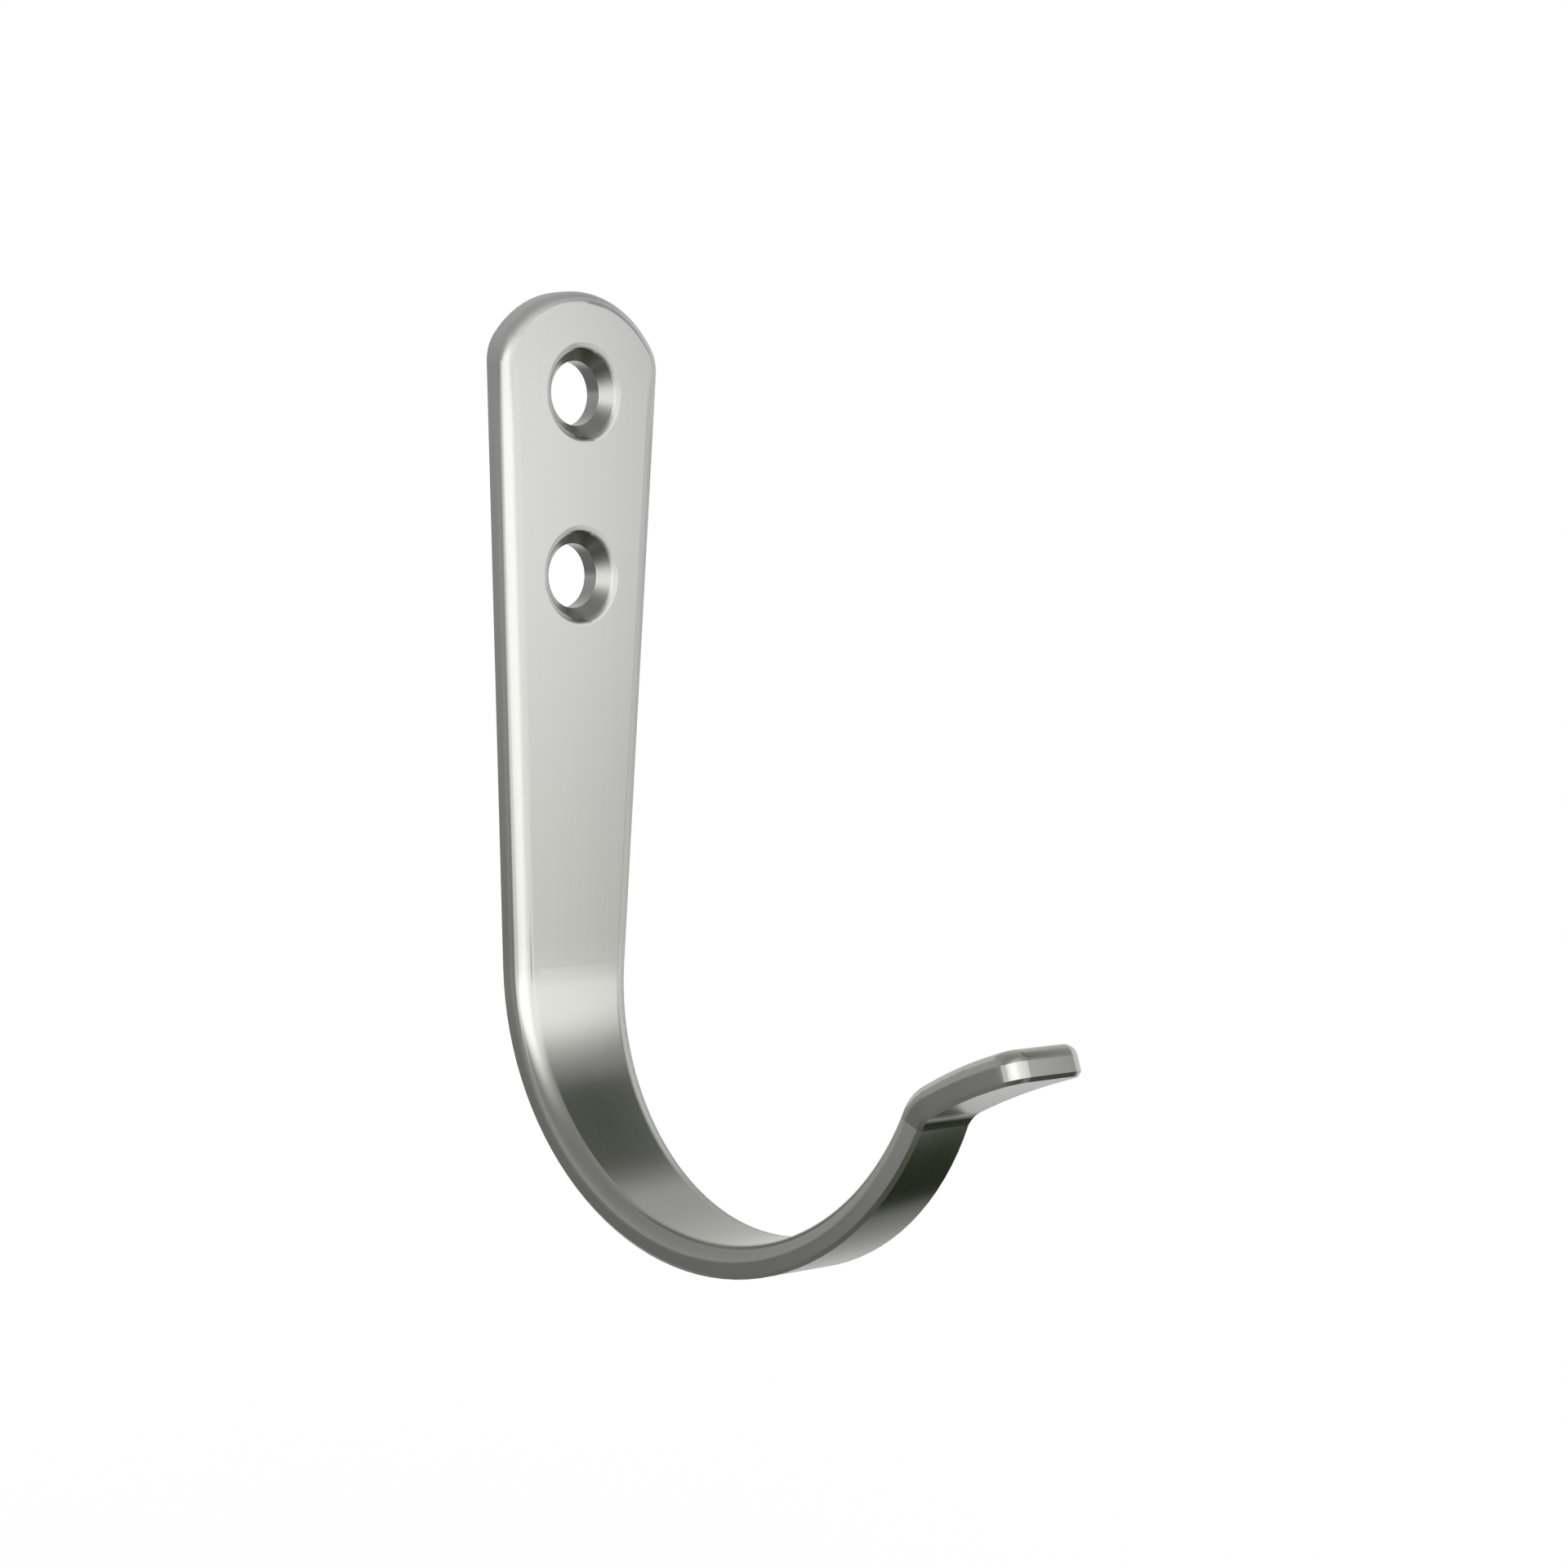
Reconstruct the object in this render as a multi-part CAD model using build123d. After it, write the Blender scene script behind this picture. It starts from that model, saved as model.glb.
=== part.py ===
from build123d import *
from math import radians
import os

# A wall hook stamped from one flat strip of stainless sheet and bent to a J.
# The wall is the plane y = 0, the hook comes out of it towards -y, and z is up.
# The origin lies on the wall, midway between the two screw holes.

# Sheet
sheet_thickness = 2.5

# Widths of the flat strip
top_width = 17.6  # where its straight sides would reach the crown's peak
neck_width = 5.7  # where the bend ends and the lip starts
tip_width = 8.6

# Plate that lies on the wall
plate_height = 54.1  # from the start of the bend to the crown's peak
crown_rise = 5.0  # from the shoulders to the crown's peak
shoulder_radius = 3.4

# Side view: the J bend, the small reverse bend after it, the curved lip and its straight tip
bend_radius = 19.5  # inside the J
bend_angle = 156.7
kink_radius = 2.2  # under the lip
kink_angle = 39.2
lip_radius = 44.0  # under the lip
lip_angle = 9.4
tip_length = 2.6

# Screw holes
hole_spacing = 14.6
hole_from_peak = 8.1
hole_diameter = 5.2
sink_diameter = 7.4
sink_angle = 90.0
sink_rim_radius = 0.8
cut_overrun = 1.0

# Edges
inner_edge_radius = 1.0  # towards the room and inside the J
outer_edge_break = 0.3  # towards the wall and outside the J
tip_corner_radius = 1.6

# Worked out from the sizes above
half_thickness = sheet_thickness / 2
crown_peak = hole_spacing / 2 + hole_from_peak
bend_start = crown_peak - plate_height
bend_length = (bend_radius + half_thickness) * radians(bend_angle)
kink_length = (kink_radius + half_thickness) * radians(kink_angle)
lip_length = (lip_radius + half_thickness) * radians(lip_angle)
taper = (top_width - neck_width) / (plate_height + bend_length)
flare = (tip_width - neck_width) / (kink_length + lip_length + tip_length)
shoulder_width = top_width - taper * crown_rise
bend_width = neck_width + taper * bend_length
kink_width = neck_width + flare * kink_length
lip_width = kink_width + flare * lip_length

side_view = Plane(origin=(0, 0, 0), x_dir=(0, -1, 0), z_dir=(-1, 0, 0))
front_view = Plane(origin=(0, 0, 0), x_dir=(1, 0, 0), z_dir=(0, -1, 0))


def strip_line():
    """Bend, kink and lip in side view, along the middle of the sheet."""
    bend_line = JernArc((half_thickness, bend_start), (0, -1), bend_radius + half_thickness, bend_angle)
    kink_line = JernArc(bend_line @ 1, bend_line % 1, kink_radius + half_thickness, -kink_angle)
    lip_line = JernArc(kink_line @ 1, kink_line % 1, lip_radius + half_thickness, -lip_angle)
    return [(side_view * line).edge() for line in (bend_line, kink_line, lip_line)]


def broken_section(width):
    """The strip's section with its two outer corners broken and its inner ones still sharp."""
    section = Rectangle(width, sheet_thickness)
    return chamfer(section.vertices().group_by(Axis.Y)[0], outer_edge_break)


def rounded_section(width):
    section = broken_section(width)
    return fillet(section.vertices().group_by(Axis.Y)[-1], inner_edge_radius)


def at_end(line, section):
    return (Plane(origin=line @ 1, x_dir=(1, 0, 0), z_dir=line % 1) * section).face()


def end_face(piece, point):
    return piece.faces().sort_by_distance(point)[0]


def free_rim(piece, plane, side, joined_point):
    """Edges round one flat side of a piece, without the one where the next stretch joins it."""
    skin = piece.faces().filter_by(plane).sort_by(Axis(plane.origin, plane.z_dir))[side]
    return skin.outer_wire().edges().sort_by_distance(joined_point)[1:]


def make_plate(joined_point):
    """Tapered plate with its crowned top and two countersunk screw holes, its front edge still sharp."""
    left_shoulder = (-shoulder_width / 2, crown_peak - crown_rise)
    right_shoulder = (shoulder_width / 2, crown_peak - crown_rise)
    left_foot = (-bend_width / 2, bend_start)
    right_foot = (bend_width / 2, bend_start)
    sides = Polyline(left_shoulder, left_foot, right_foot, right_shoulder)
    crown = ThreePointArc(right_shoulder, (0, crown_peak), left_shoulder)
    outline = make_face([sides, crown])
    outline = fillet(outline.vertices().group_by(Axis.Y)[-1], shoulder_radius)
    plate = extrude(front_view * outline, sheet_thickness)
    plate = chamfer(free_rim(plate, front_view, 0, joined_point), outer_edge_break)

    hole_depth = sheet_thickness + cut_overrun
    hole = CounterSinkHole(hole_diameter / 2, sink_diameter / 2, hole_depth, sink_angle)
    front_face = front_view.offset(sheet_thickness)
    plate -= front_face * GridLocations(0, hole_spacing, 1, 2) * hole
    rims = plate.faces().sort_by(Axis.Y)[0].inner_wires().edges()
    return fillet(rims, sink_rim_radius)


def make_tip(lip_line):
    """Straight end of the lip, with its two corners rounded."""
    joined_point = lip_line @ 1
    forward = lip_line % 1
    inward = forward.cross(Vector(1, 0, 0))
    underside = Plane(origin=joined_point - inward * half_thickness, x_dir=(-1, 0, 0), z_dir=inward)
    joined_corners = [(-lip_width / 2, 0), (lip_width / 2, 0)]
    free_corners = [(tip_width / 2, tip_length), (-tip_width / 2, tip_length)]
    outline = make_face(Polyline(*joined_corners, *free_corners, close=True))
    outline = fillet(outline.vertices().group_by(Axis.Y)[-1], tip_corner_radius)
    tip = extrude(underside * outline, sheet_thickness)
    tip = fillet(free_rim(tip, underside, -1, joined_point), inner_edge_radius)
    return chamfer(free_rim(tip, underside, 0, joined_point), outer_edge_break)


def make_hook():
    bend_line, kink_line, lip_line = strip_line()
    plate = make_plate(bend_line @ 0)
    bend_ends = [end_face(plate, bend_line @ 0), at_end(bend_line, broken_section(neck_width))]
    bend = sweep(bend_ends, path=bend_line, multisection=True)
    # One rounding runs from the plate's front edge on round the inside of the J.
    hook = plate + bend
    hook = fillet(free_rim(hook, front_view, -1, bend_line @ 0), inner_edge_radius)

    # The kink and the lip carry the J's rounded end on to the tip.
    tip = make_tip(lip_line)
    neck = end_face(hook, bend_line @ 1)
    lip_start = at_end(kink_line, rounded_section(kink_width))
    lip_end = end_face(tip, lip_line @ 1)
    kink = sweep([neck, lip_start], path=kink_line, multisection=True)
    lip = sweep([lip_start, lip_end], path=lip_line, multisection=True)
    return hook + kink + lip + tip


os.makedirs("parts", exist_ok=True)
hook = make_hook()
export_step(hook, "parts/wall_hook.step")
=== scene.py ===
import bpy
import math
from mathutils import Matrix, Vector


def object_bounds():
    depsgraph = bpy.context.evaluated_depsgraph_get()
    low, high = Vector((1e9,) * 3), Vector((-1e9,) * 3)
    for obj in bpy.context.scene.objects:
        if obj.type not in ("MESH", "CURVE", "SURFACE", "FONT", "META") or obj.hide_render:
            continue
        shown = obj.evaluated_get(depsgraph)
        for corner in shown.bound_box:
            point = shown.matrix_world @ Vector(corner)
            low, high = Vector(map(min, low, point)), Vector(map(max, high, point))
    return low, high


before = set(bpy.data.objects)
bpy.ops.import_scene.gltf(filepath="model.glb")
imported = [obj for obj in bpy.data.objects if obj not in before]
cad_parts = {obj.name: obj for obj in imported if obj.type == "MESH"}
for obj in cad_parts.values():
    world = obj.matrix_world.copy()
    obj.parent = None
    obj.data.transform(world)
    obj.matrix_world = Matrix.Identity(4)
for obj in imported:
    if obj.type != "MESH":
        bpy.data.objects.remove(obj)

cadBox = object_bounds()
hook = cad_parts["wall_hook"]
print("frame loaded:", sorted(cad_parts))


# One class for all shader work. It wraps a socket, so that maths on it reads as an expression.
class Flow:
    def __init__(self, tree, socket=None):
        self.tree = tree
        self.socket = socket

    # Any node: its type, its settings, then the values or links of its sockets.
    def node(self, kind, settings=None, sockets=None, output=0):
        made = self.tree.nodes.new(kind)
        for name, value in (settings or {}).items():
            if name == "stops":
                self.setStops(made.color_ramp, value)
            else:
                setattr(made, name, value)
        for key, value in (sockets or {}).items():
            if isinstance(value, Flow):
                self.tree.links.new(value.socket, made.inputs[key])
            else:
                made.inputs[key].default_value = value
        return Flow(self.tree, made.outputs[output] if made.outputs else None)

    def setStops(self, ramp, stops):
        while len(ramp.elements) < len(stops):
            ramp.elements.new(1.0)
        for element, (place, color) in zip(ramp.elements, stops):
            element.position = place
            element.color = (*color, 1.0)

    # the three parts of a vector
    def split(self):
        parts = self.node("ShaderNodeSeparateXYZ", {}, {0: self}).socket.node.outputs
        return [Flow(self.tree, part) for part in parts]

    def calc(self, operation, first, second=0.0):
        return self.node("ShaderNodeMath", {"operation": operation}, {0: first, 1: second})

    def __add__(self, other):
        return self.calc("ADD", self, other)

    def __radd__(self, other):
        return self.calc("ADD", other, self)

    def __sub__(self, other):
        return self.calc("SUBTRACT", self, other)

    def __rsub__(self, other):
        return self.calc("SUBTRACT", other, self)

    def __mul__(self, other):
        return self.calc("MULTIPLY", self, other)

    def __rmul__(self, other):
        return self.calc("MULTIPLY", other, self)

    def __truediv__(self, other):
        return self.calc("DIVIDE", self, other)

    def __rtruediv__(self, other):
        return self.calc("DIVIDE", other, self)

    def __abs__(self):
        return self.calc("ABSOLUTE", self)

    # 0 below low, 1 above high, smooth between
    def ease(self, low, high):
        ends = {"From Min": low, "From Max": high, "To Min": 0.0, "To Max": 1.0}
        return self.node("ShaderNodeMapRange", {"interpolation_type": "SMOOTHSTEP"}, {"Value": self, **ends})

    # 1 between the middle two, smooth to 0 at the outer two
    def window(self, start, full, last, end):
        return self.ease(start, full) * (1.0 - self.ease(last, end))

    def mixColor(self, share, first, second):
        return self.node("ShaderNodeMix", {"data_type": "RGBA"}, {0: share, 6: first, 7: second}, 2)


# Satin brushed stainless steel. Lengths are in metres.
steel = {
    # painted light and shade: colour from the bottom of the J (0) to the crown (1), darker towards the
    # bottom and at the crown and paler where the bend starts, fitted to the photo
    "paintedShading": [(0.0, (0.575, 0.585, 0.530)), (0.20, (0.635, 0.642, 0.595)),
             (0.265, (0.720, 0.725, 0.680)), (0.31, (0.640, 0.645, 0.600)),
             (0.70, (0.648, 0.648, 0.622)), (0.88, (0.630, 0.630, 0.612)),
             (1.0, (0.575, 0.575, 0.558))],
    "paintedShadingFrom": -0.0600,    # height of the painted shading's first stop
    "paintedShadingRise": 0.0754,     # and from there to its last
    "toneShift": 0.04,      # from one grain line to the next
    "roughness": 0.18,
    "roughnessShift": 0.05,
    "grainAcross": 5200.0,  # grain lines per metre across the strip
    "grainAlong": 45.0,     # along it, so that each line runs a few centimetres
    "grainDetail": 3.0,
    "grainHeight": 0.00000035,
    "faceRadius": 0.134,    # polishing leaves the faces very slightly domed across their width
    "faceWear": 0.00145,    # how far the long edges are worn soft on the face
    "faceFade": 1.6,        # the wear is gone at this many times that
    "sideWear": 0.00125,    # the same on the side
    "sideFade": 1.2,
    "wearEnds": (0.0035, 0.0105),  # heights between which the wear fades out below the crown
    "crownStarts": (0.0085, 0.0115),  # heights between which the crown's edge finish and its painted light begin
    "crownEdge": (-0.998, -0.93, 0.3, 0.6),  # where it is on the rounding, by the normal's y
    "crownPaintedLightColor": (0.82, 0.82, 0.80),  # painted light: paler than the faces; the crown's edge is also more matt
    "crownRoughness": 0.50,
    "holeEnds": (0.0044, 0.0050),  # it stays this far from the holes' centres
    "holeRise": 0.0073,     # each hole's centre above or below the origin
    "sinkRim": (0.0034, 0.0037),
    "sinkDepth": (0.0001, 0.0003, 0.0010, 0.0012),
    # painted shade: the countersinks are coloured darker than the faces, as shade in a recess; their
    # roughness below is the cut finish
    "sinkShadeColor": (0.50, 0.505, 0.47),
    "sinkRoughness": 0.26,  # the countersinks are cut, not brushed
}
# The bent strip, for places along and across it
strip = {
    "bendStart": -0.0387,
    "bendOut": 0.022,       # from the wall to the bend's axis
    "bendRadius": 0.0195,
    "bendLine": 0.02075,    # radius at the middle of the sheet
    "halfWidth": 0.005896,  # at the start of the bend
    "taper": 0.05368,       # of the half width, upwards
    "wearFades": (2.1, 2.6),  # radians round the bend between which the wear ends
}


def makeSteel():
    material = bpy.data.materials.new("satin_steel")
    material.use_nodes = True
    material.node_tree.nodes.clear()
    start = Flow(material.node_tree)
    place = start.node("ShaderNodeTexCoord", output="Object")
    x, y, z = place.split()

    # how far round the bend, how deep below the inner skin and how far in from the long edge
    above = z - strip["bendStart"]
    below = start.calc("MINIMUM", above, 0.0)
    out = y + strip["bendOut"]
    fromAxis = start.calc("SQRT", out * out + below * below)
    bent = start.calc("ARCTAN2", 0.0 - below, out)
    depth = fromAxis - strip["bendRadius"]
    run = start.calc("MAXIMUM", above, 0.0) - bent * strip["bendLine"]
    inward = strip["halfWidth"] + run * strip["taper"] - abs(x)

    stretch = (steel["grainAcross"], steel["grainAlong"], steel["grainAlong"])
    grainPlace = start.node("ShaderNodeVectorMath", {"operation": "MULTIPLY"}, {0: place, 1: stretch})
    noise = {"Vector": grainPlace, "Scale": 1.0, "Detail": steel["grainDetail"]}
    grain = start.node("ShaderNodeTexNoise", {}, noise)
    swing = grain - 0.5  # above or below the middle of the noise

    rise = abs(z) - steel["holeRise"]
    fromHole = start.calc("SQRT", x * x + rise * rise)
    sink = (1.0 - fromHole.ease(*steel["sinkRim"])) * depth.window(*steel["sinkDepth"])
    normal = start.node("ShaderNodeTexCoord", output="Normal")
    facing = normal.split()[1]
    # the crown's edge: more matt, and painted light in a paler colour
    crown = z.ease(*steel["crownStarts"]) * facing.window(*steel["crownEdge"])
    crown = crown * fromHole.ease(*steel["holeEnds"])

    roughness = steel["roughness"] + swing * steel["roughnessShift"]
    roughness = roughness + (steel["sinkRoughness"] - roughness) * sink
    roughness = roughness + (steel["crownRoughness"] - roughness) * crown

    # painted light and shade: the base colour follows the ramp up the hook's height
    height = (z - steel["paintedShadingFrom"]) / steel["paintedShadingRise"]
    paintedShading = start.node("ShaderNodeValToRGB", {"stops": steel["paintedShading"]}, {0: height})
    grained = 1.0 + swing * steel["toneShift"]
    color = start.node("ShaderNodeVectorMath", {"operation": "SCALE"}, {0: paintedShading, "Scale": grained})
    # painted shade: darker colour in the countersinks
    color = start.mixColor(sink, color, (*steel["sinkShadeColor"], 1))
    # painted light: the crown's edge is coloured paler than the faces
    color = start.mixColor(crown, color, (*steel["crownPaintedLightColor"], 1))

    # polish: long edges worn softer and slightly domed faces
    onFace, onSide = steel["faceWear"], steel["sideWear"]
    side = start.calc("MAXIMUM", onFace - inward, 0.0) / onFace * start.calc("SIGN", x)
    front = start.calc("MAXIMUM", onSide - depth, 0.0) / onSide / fromAxis
    wornParts = {0: side, 1: 0.0 - front * out, 2: 0.0 - front * below}
    worn = start.node("ShaderNodeCombineXYZ", {}, wornParts)
    rim = 1.0 - inward.ease(onFace, onFace * steel["faceFade"])
    rim = rim * (1.0 - depth.ease(onSide, onSide * steel["sideFade"]))
    share = rim * (1.0 - bent.ease(*strip["wearFades"])) * (1.0 - z.ease(*steel["wearEnds"]))
    normal = start.node("ShaderNodeMix", {"data_type": "VECTOR"}, {0: share, 4: normal, 5: worn}, 1)
    lean = start.node("ShaderNodeCombineXYZ", {}, {0: x / steel["faceRadius"]})
    normal = start.node("ShaderNodeVectorMath", {"operation": "ADD"}, {0: normal, 1: lean})
    normal = start.node("ShaderNodeVectorMath", {"operation": "NORMALIZE"}, {0: normal})
    relief = {"Height": grain * (1.0 - sink), "Distance": steel["grainHeight"], "Normal": normal}
    bump = start.node("ShaderNodeBump", {}, relief)
    shader = start.node("ShaderNodeBsdfPrincipled", {}, {
        "Base Color": color, "Metallic": 1.0, "Roughness": roughness, "Normal": bump,
    })
    start.node("ShaderNodeOutputMaterial", {}, {"Surface": shader})
    return material


hook.data.materials.clear()
hook.data.materials.append(makeSteel())
print("steel made")


# Plain pale floor, below the picture's lower edge where it is near the hook
floor = {"drop": 0.036, "size": 8.0, "color": (1.0, 1.0, 1.0), "shadowShare": 0.35}


def makeFloor():
    mesh = bpy.data.meshes.new("floor")
    half = floor["size"] / 2
    height = cadBox[0].z - floor["drop"]
    corners = [(-half, -half, height), (half, -half, height), (half, half, height), (-half, half, height)]
    mesh.from_pydata(corners, [], [(0, 1, 2, 3)])
    piece = bpy.data.objects.new("floor", mesh)
    bpy.context.scene.collection.objects.link(piece)
    material = bpy.data.materials.new("floor_white")
    material.use_nodes = True
    material.node_tree.nodes.clear()
    start = Flow(material.node_tree)
    shaded = start.node("ShaderNodeBsdfDiffuse", {}, {"Color": (*floor["color"], 1)})
    glow = start.node("ShaderNodeEmission", {}, {"Color": (1, 1, 1, 1), "Strength": 1.0})
    look = start.node("ShaderNodeMixShader", {}, {0: floor["shadowShare"], 1: glow, 2: shaded})
    camera = start.node("ShaderNodeLightPath", output="Is Camera Ray")
    surface = start.node("ShaderNodeMixShader", {}, {0: camera, 1: shaded, 2: look})
    start.node("ShaderNodeOutputMaterial", {}, {"Surface": surface})
    mesh.materials.append(material)
    piece.visible_glossy = False  # the metal mirrors the studio round it instead


makeFloor()
print("floor made")


# Studio round the hook, which only the steel's reflections see, fitted to the photo's reflections.
# Each list goes round the X axis in half turns, from the front (0) to the back (1), over the top
# or under, on the right or the left side.
studio = {
    "fill": 1.0,  # brightness of the plain white that all else sees
    "overRight": [(0.0, 1.0), (0.02, 1.03), (0.05, 1.05), (0.085, 1.09), (0.115, 0.96),
                  (0.155, 0.62), (0.20, 0.33), (0.32, 0.30), (0.52, 0.37), (0.60, 0.47),
                  (0.70, 0.48), (0.80, 0.56), (0.90, 0.62), (1.0, 0.74)],
    "overLeft": [(0.0, 0.95), (0.10, 1.02), (0.14, 0.98), (0.18, 0.74), (0.23, 0.46),
                 (0.30, 0.30), (0.40, 0.26), (0.55, 0.28), (1.0, 0.40)],
    "underRight": [(0.0, 1.0), (0.022, 0.85), (0.04, 0.74), (0.08, 0.76), (0.13, 0.84),
                   (0.22, 0.70), (0.29, 0.42), (0.34, 0.04), (0.53, 0.02), (0.57, 0.20),
                   (0.65, 0.32), (0.78, 0.56), (0.92, 0.62), (1.0, 0.78)],
    "underLeft": [(0.0, 0.98), (0.09, 0.80), (0.16, 0.48), (0.21, 0.22), (0.27, 0.10),
                  (0.38, 0.10), (0.60, 0.20), (0.88, 0.18), (0.93, 0.22), (1.0, 0.40)],
    # where left goes over to right, above and below, and below to above
    "overAcross": (-0.4, 0.6),
    "underAcross": (0.0, 0.65),
    "horizon": (-0.02, 0.02),
    # to the right of the first, the upper edge of the front light comes down at this slope
    "windowFalls": (0.68, 0.40),
    "fallEnds": (0.2, 0.4),
    # brightness of the front from left to right, and where the front ends
    "across": [(0.0, 1.58), (0.22, 1.56), (0.31, 1.36), (0.38, 1.18), (0.50, 1.14), (0.75, 1.12),
               (0.81, 1.06), (0.84, 1.00), (0.875, 0.84), (0.91, 0.74), (1.0, 0.72)],
    "frontEnds": (0.15, 0.35),
    # a dark flag above, on the right
    "flagDepth": 0.70,
    "flagTurn": (0.20, 0.27, 0.46, 0.62),
    "flagAcross": (0.50, 0.62, 0.71, 0.79),
    # an even light at the right end
    "rightLight": 0.72,
    "rightAcross": (0.80, 0.93),
    # a white board low on the left
    "boardLight": 1.10,
    "boardAcross": (-1.0, -0.96),
    "boardHeight": (-0.02, 0.18),
    "shadeColor": (0.75, 1.00, 0.45),  # tint of what is darkest
    "shadeLight": (0.02, 0.14),
}


def makeStudio():
    world = bpy.data.worlds.new("studio")
    bpy.context.scene.world = world
    world.use_nodes = True
    world.node_tree.nodes.clear()
    world.cycles.sampling_method = "NONE"
    start = Flow(world.node_tree)
    x, y, z = start.node("ShaderNodeTexCoord", output="Generated").split()
    turn = abs(start.calc("ARCTAN2", z, 0.0 - y)) / math.pi

    def ramp(name, factor):
        stops = [(place, (light,) * 3) for place, light in studio[name]]
        return start.node("ShaderNodeValToRGB", {"stops": stops}, {0: factor})

    def mix(factor, first, second):
        return start.node("ShaderNodeMix", {"data_type": "FLOAT"}, {0: factor, 2: first, 3: second})

    fallsFrom, slope = studio["windowFalls"]
    fall = start.calc("MAXIMUM", x - fallsFrom, 0.0) * slope
    overTurn = turn + fall * (1.0 - turn.ease(*studio["fallEnds"]))
    over = mix(x.ease(*studio["overAcross"]), ramp("overLeft", turn), ramp("overRight", overTurn))
    flag = turn.window(*studio["flagTurn"]) * x.window(*studio["flagAcross"])
    over = over * (1.0 - flag * studio["flagDepth"])
    under = mix(x.ease(*studio["underAcross"]), ramp("underLeft", turn), ramp("underRight", turn))
    ring = mix(z.ease(*studio["horizon"]), under, over)
    front = 1.0 - turn.ease(*studio["frontEnds"])
    light = ring * mix(front, 1.0, ramp("across", x * 0.5 + 0.5))  # left end at 0, right end at 1
    light = mix(x.ease(*studio["rightAcross"]), light, studio["rightLight"])
    board = (1.0 - x.ease(*studio["boardAcross"])) * (1.0 - z.ease(*studio["boardHeight"]))
    light = mix(board * (1.0 - front), light, studio["boardLight"])
    white = (1, 1, 1, 1)
    color = start.mixColor(light.ease(*studio["shadeLight"]), (*studio["shadeColor"], 1), white)
    glossy = start.node("ShaderNodeLightPath", output="Is Glossy Ray")
    seen = start.mixColor(glossy, white, color)
    strength = mix(glossy, studio["fill"], light)
    background = start.node("ShaderNodeBackground", {}, {"Color": seen, "Strength": strength})
    start.node("ShaderNodeOutputWorld", {}, {"Surface": background})


makeStudio()
print("studio made")


# Camera at the photo's place, in degrees, metres and millimetres of lens
view = {
    "azimuth": -46.19,
    "elevation": 2.53,
    "roll": 0.969,
    "distance": 0.27835,
    "target": (0.011901, -0.013924, -0.023775),
    "lens": 79.32,
    "sensor": 36.0,
    "clip": (0.01, 50.0),
}


def makeCamera():
    data = bpy.data.cameras.new("camera")
    data.lens = view["lens"]
    data.sensor_width = view["sensor"]
    data.clip_start, data.clip_end = view["clip"]
    camera = bpy.data.objects.new("camera", data)
    bpy.context.scene.collection.objects.link(camera)
    azimuth, elevation, roll = (math.radians(view[name]) for name in ("azimuth", "elevation", "roll"))
    level = math.cos(elevation)
    back = Vector((math.sin(azimuth) * level, -math.cos(azimuth) * level, math.sin(elevation)))
    turned = (-back).to_track_quat("-Z", "Y").to_matrix() @ Matrix.Rotation(roll, 3, "Z")
    place = Vector(view["target"]) + back * view["distance"]
    camera.matrix_world = Matrix.Translation(place) @ turned.to_4x4()
    bpy.context.scene.camera = camera


makeCamera()
bpy.context.scene.view_settings.view_transform = "Standard"
print("camera made")
